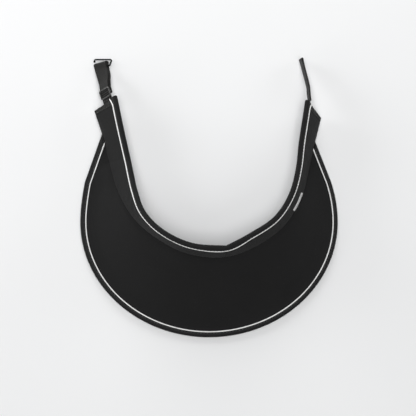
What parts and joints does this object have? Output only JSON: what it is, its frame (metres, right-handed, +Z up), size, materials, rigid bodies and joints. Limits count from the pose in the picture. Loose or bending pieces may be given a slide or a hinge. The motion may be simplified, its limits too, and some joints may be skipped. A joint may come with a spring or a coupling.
{
  "type": "soft neck collar",
  "caption": "Soft black neck collar with a crescent bib, a piped stand-up neck band, an adjustable tape strap with slider and hook, and a tape loop for the hook.",
  "frame": {"origin": "on the surface the collar lies on, under the middle of the whole collar's box", "axes": "+X to the wearer's left-hand side as seen from above, across the collar; +Y from the bib at the front of the neck to the straps at the back; +Z up from the surface the bib lies on"},
  "size_m": [0.2413, 0.262, 0.0588],
  "materials": {
    "black_cloth": "matte fine-woven",
    "padding_foam": "matte",
    "charcoal_lining": "matte brushed",
    "black_binding": "matte folded tape",
    "white_piping": "satin cord",
    "ribbed_tape": "matte ribbed",
    "elastic_tape": "matte flat woven",
    "dark_metal": "dark coated",
    "white_tab": "matte"
  },
  "bodies": {
    "collar": {"bib_cover": "black_cloth", "bib_core": "padding_foam", "bib_lining": "charcoal_lining", "bib_binding": "black_binding", "bib_piping": "white_piping", "neck_seam_tape": "black_binding", "side_tab": "white_tab", "band_cover_left": "black_cloth", "band_cover_right": "black_cloth", "band_foam": "padding_foam", "band_lining": "charcoal_lining", "band_binding": "black_binding", "band_piping": "white_piping"},
    "left_wing": {"left_wing_cover": "black_cloth", "left_wing_foam": "padding_foam", "left_wing_lining": "charcoal_lining", "left_wing_binding": "black_binding", "left_wing_piping": "white_piping", "left_end_binding": "ribbed_tape"},
    "right_wing": {"right_wing_cover": "black_cloth", "right_wing_foam": "padding_foam", "right_wing_lining": "charcoal_lining", "right_wing_binding": "black_binding", "right_wing_piping": "white_piping", "right_end_binding": "ribbed_tape", "right_anchor_tape": "ribbed_tape"},
    "left_strap": {"left_anchor_tape": "ribbed_tape"},
    "slider": {"slider_frame": "dark_metal", "slider_tape_end": "ribbed_tape"},
    "strap_fold": {"left_loop_tape": "elastic_tape"},
    "hook_wire": {"hook": "dark_metal"},
    "right_strap": {"right_loop_tape": "elastic_tape"}
  },
  "joints": [
    {"name": "left_wing_flex", "type": "hinge", "parent": "collar", "child": "left_wing", "pos_m": [-0.10101, 0.06445, 0.0028], "axis": [0.6913, 0.0377, 0.7216], "range_deg": [-4, 14], "stiffness_Nm_per_rad": 0.25},
    {"name": "right_wing_flex", "type": "hinge", "parent": "collar", "child": "right_wing", "pos_m": [0.10036, 0.06, 0.0028], "axis": [0.4843, -0.0961, -0.8696], "range_deg": [-4, 14], "stiffness_Nm_per_rad": 0.25},
    {"name": "left_strap_flex", "type": "hinge", "parent": "left_wing", "child": "left_strap", "pos_m": [-0.09395, 0.0901, 0.01402], "axis": [0.7, 0.3903, 0.598], "range_deg": [0, 60]},
    {"name": "slider_slide", "type": "slide", "parent": "left_strap", "child": "slider", "axis": [-0.3293, 0.9195, -0.2147], "range_m": [-0.0015, 0.008]},
    {"name": "fold_slide", "type": "slide", "parent": "slider", "child": "strap_fold", "axis": [-0.2203, 0.9057, -0.3623], "range_m": [-0.004, 0.00075]},
    {"name": "hook_swing", "type": "hinge", "parent": "strap_fold", "child": "hook_wire", "pos_m": [-0.099, 0.1236, 0.0021], "axis": [1, 0, 0], "range_deg": [0, 125]},
    {"name": "right_strap_flex", "type": "hinge", "parent": "right_wing", "child": "right_strap", "pos_m": [0.09173, 0.09661, 0.01666], "axis": [-0.0225, 0.4051, 0.914], "range_deg": [-35, 35], "stiffness_Nm_per_rad": 0.02}
  ],
  "couplings": [
    {"joint": "fold_slide", "follows": "slider_slide", "ratio": -0.5}
  ]
}
